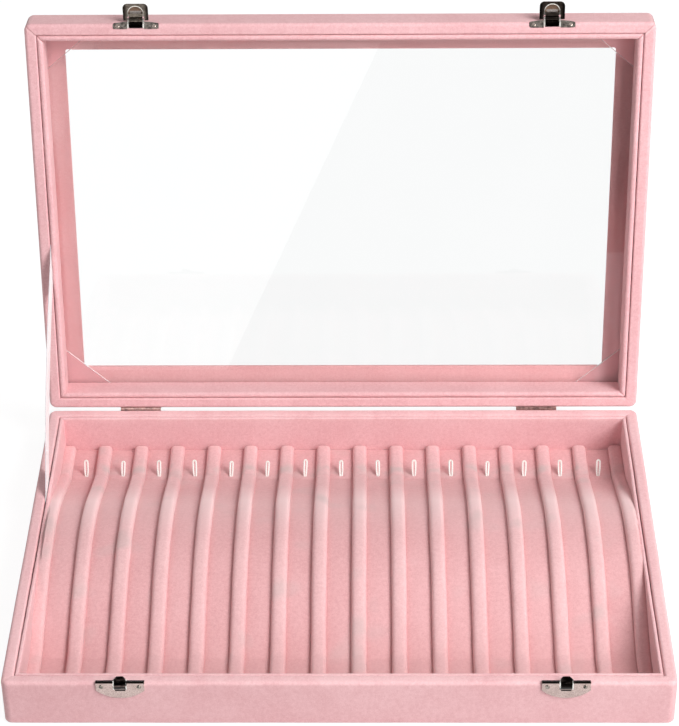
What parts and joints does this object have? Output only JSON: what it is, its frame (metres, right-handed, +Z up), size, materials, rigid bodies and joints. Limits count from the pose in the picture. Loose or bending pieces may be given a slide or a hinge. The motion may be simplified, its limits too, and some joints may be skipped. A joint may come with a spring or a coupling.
{
  "type": "necklace organizer box",
  "caption": "Flat velvet-covered necklace case with a ribbed, humped pad, fine loops, and a glass-topped hinged lid with two swing latches and a ribbon stay.",
  "frame": {"origin": "middle of the underside of the tray", "axes": "+Z up, the latches face -Y, +X to the right seen from the front; the lid stands open at rest"},
  "size_m": [0.35, 0.2943, 0.2776],
  "materials": {
    "velvet_board": "board covered with short pink velvet",
    "velvet_pad": "short pink velvet over padding",
    "base_cloth": "flat pink cloth",
    "white_cord": "white elastic cord",
    "satin_ribbon": "white satin",
    "nickel": "polished nickel plate",
    "dark_bronze": "dark bronze plate",
    "clear_glass": "clear flat glass"
  },
  "bodies": {
    "tray": {"base_cover": "base_cloth", "tray_bottom_board": "velvet_board", "tray_front_wall": "velvet_board", "tray_back_wall": "velvet_board", "tray_left_wall": "velvet_board", "tray_right_wall": "velvet_board", "tray_front_liner": "velvet_board", "tray_back_liner": "velvet_board", "tray_left_liner": "velvet_board", "tray_right_liner": "velvet_board", "necklace_pad": "velvet_pad", "pad_rolls": "velvet_pad", "necklace_loops": "white_cord", "catch_plate_left": "nickel", "catch_plate_right": "nickel", "catch_plate_nails": "nickel", "tray_hinge_leaf_left": "dark_bronze", "tray_hinge_leaf_right": "dark_bronze", "hinge_pin_left": "dark_bronze", "hinge_pin_right": "dark_bronze", "tray_hinge_nails": "dark_bronze", "stay_ribbon": "satin_ribbon"},
    "lid": {"lid_front_wall": "velvet_board", "lid_back_wall": "velvet_board", "lid_left_wall": "velvet_board", "lid_right_wall": "velvet_board", "lid_front_liner": "velvet_board", "lid_back_liner": "velvet_board", "lid_left_liner": "velvet_board", "lid_right_liner": "velvet_board", "lid_top_frame": "velvet_board", "glass_pane": "clear_glass", "lid_hinge_leaf_left": "dark_bronze", "lid_hinge_leaf_right": "dark_bronze", "lid_hinge_nails": "dark_bronze", "latch_plate_left": "nickel", "latch_plate_right": "nickel", "latch_plate_nails": "nickel", "hasp_pins": "nickel"},
    "hasp_left": {"hasp_left": "nickel"},
    "hasp_right": {"hasp_right": "nickel"}
  },
  "joints": [
    {"name": "lid_hinge", "type": "hinge", "parent": "tray", "child": "lid", "pos_m": [0, 0.1202, 0.0293], "axis": [1, 0, 0], "range_deg": [0, 98.2], "deforming": ["stay_ribbon"]},
    {"name": "hasp_left_hinge", "type": "hinge", "parent": "lid", "child": "hasp_left", "pos_m": [-0.1129, 0.15783, 0.26797], "axis": [1, 0, 0], "range_deg": [-15, 80]},
    {"name": "hasp_right_hinge", "type": "hinge", "parent": "lid", "child": "hasp_right", "pos_m": [0.1174, 0.15783, 0.26797], "axis": [1, 0, 0], "range_deg": [-8, 90]}
  ]
}
